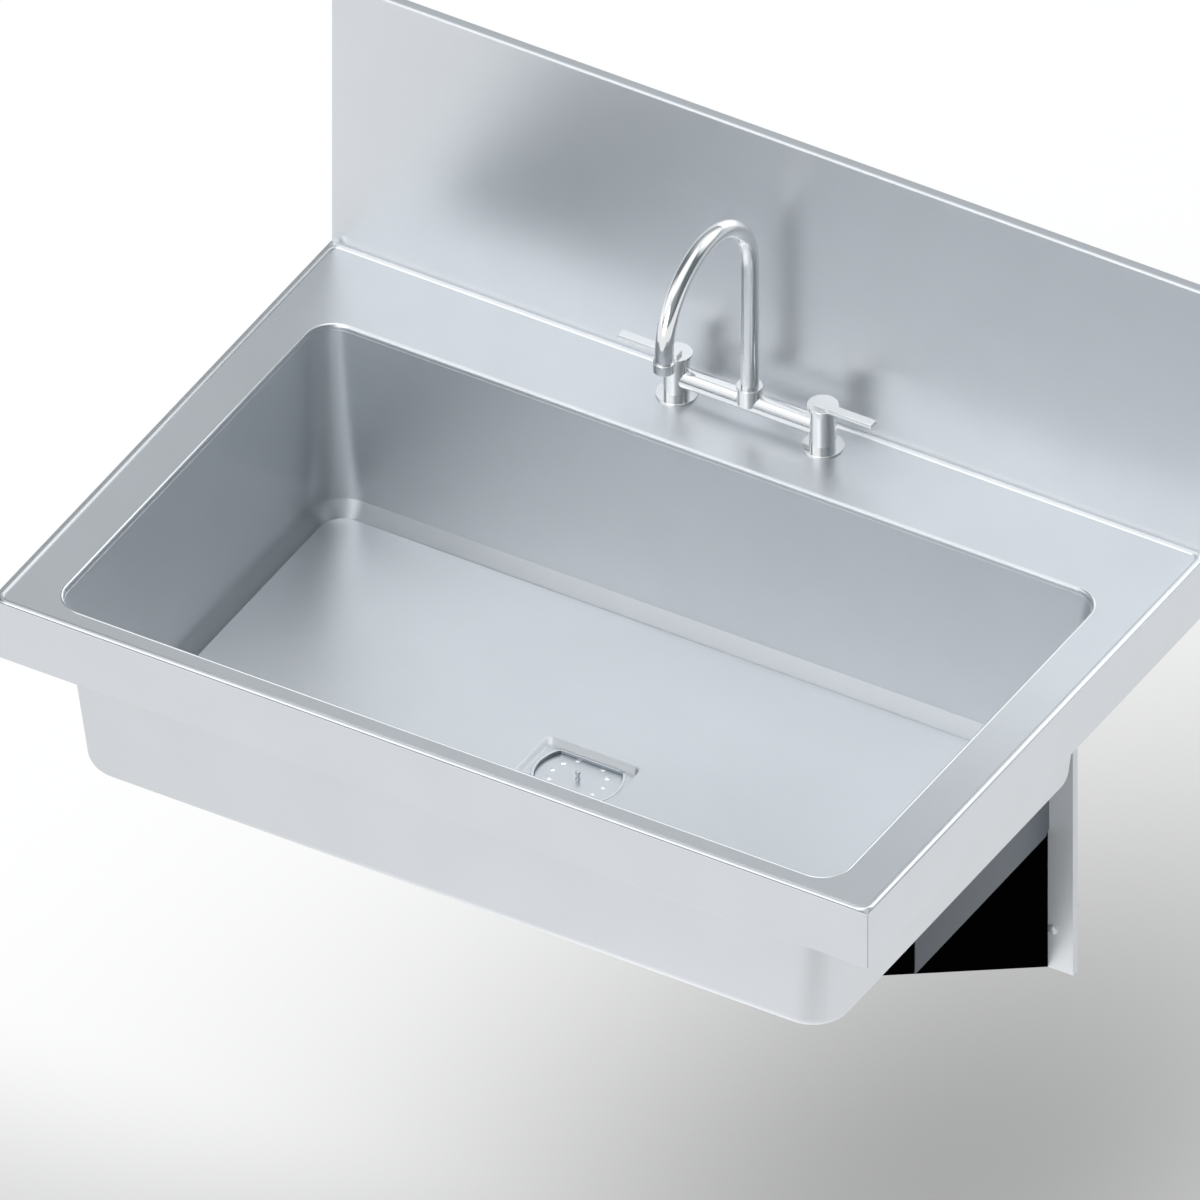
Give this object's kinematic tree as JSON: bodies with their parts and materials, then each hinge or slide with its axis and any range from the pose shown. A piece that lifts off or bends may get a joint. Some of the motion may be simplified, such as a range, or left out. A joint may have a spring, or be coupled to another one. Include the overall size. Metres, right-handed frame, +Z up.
{
  "type": "wall-hung service sink",
  "caption": "Wall-hung stainless service sink: deep tub, raised-bead rim with aprons, backsplash, bridge tap with swivel spout and levers, lift-out strainer, brackets.",
  "frame": {"origin": "the wall plane on the centre line, level with the top of the rim's raised bead, on the wall cleat's back", "axes": "+X to the right along the wall, seen from the front; +Y into the wall; +Z up"},
  "size_m": [1.22, 0.87, 1.1115],
  "materials": {
    "stainless": "satin",
    "stainless_dull": "mill finish",
    "chrome": "polished",
    "drain_chrome": "polished",
    "coated_black": "matt powder coat",
    "fasteners": "zinc plated",
    "brass": "machined",
    "rubber": "matt",
    "ceramic": "moulded",
    "aerator_mesh": "moulded"
  },
  "bodies": {
    "sink": {"tub": "stainless", "rim_deck": "stainless", "backsplash": "stainless", "faucet_deck_plate": "stainless_dull", "sound_pads": "rubber", "hanger_clip": "stainless_dull", "wall_cleat": "stainless_dull", "left_wall_channel": "stainless", "right_wall_channel": "stainless", "left_gusset": "coated_black", "right_gusset": "coated_black", "left_gusset_doubler": "stainless_dull", "right_gusset_doubler": "stainless_dull", "left_cradle_rail": "stainless_dull", "right_cradle_rail": "stainless_dull", "left_cradle_pad": "rubber", "right_cradle_pad": "rubber", "wall_bolts": "fasteners", "wall_bolt_spacers": "fasteners", "gusset_bolts": "fasteners", "rail_bolts": "fasteners", "drain_body": "drain_chrome", "tailpiece_washer": "rubber", "tailpiece_nut": "brass", "tailpiece": "drain_chrome", "left_escutcheon": "chrome", "right_escutcheon": "chrome", "left_valve_column": "chrome", "right_valve_column": "chrome", "left_cartridge": "ceramic", "right_cartridge": "ceramic", "left_shank": "brass", "right_shank": "brass", "left_shank_washer": "rubber", "right_shank_washer": "rubber", "left_shank_locknut": "brass", "right_shank_locknut": "brass", "bridge_tube": "chrome", "spout_collar": "chrome", "spout_seal": "rubber", "spout_set_screw": "fasteners"},
    "spout_arm": {"spout": "chrome", "aerator_housing": "chrome", "aerator_insert": "aerator_mesh"},
    "left_lever": {"left_lever_handle": "chrome", "left_valve_stem": "brass", "left_set_screw": "fasteners"},
    "right_lever": {"right_lever_handle": "chrome", "right_valve_stem": "brass", "right_set_screw": "fasteners"},
    "strainer": {"strainer_plate": "stainless", "strainer_knob": "drain_chrome"}
  },
  "joints": [
    {"name": "spout_swivel", "type": "hinge", "parent": "sink", "child": "spout_arm", "pos_m": [0, -0.0612, 0.045], "axis": [0, 0, 1], "range_deg": [-90, 90]},
    {"name": "left_lever_turn", "type": "hinge", "parent": "sink", "child": "left_lever", "pos_m": [-0.1016, -0.0612, 0.05], "axis": [0, 0, 1], "range_deg": [0, 90]},
    {"name": "right_lever_turn", "type": "hinge", "parent": "sink", "child": "right_lever", "pos_m": [0.1016, -0.0612, 0.05], "axis": [0, 0, 1], "range_deg": [-90, 0]},
    {"name": "strainer_lift", "type": "slide", "parent": "sink", "child": "strainer", "axis": [0, 0, 1], "range_m": [0, 0.12]}
  ]
}
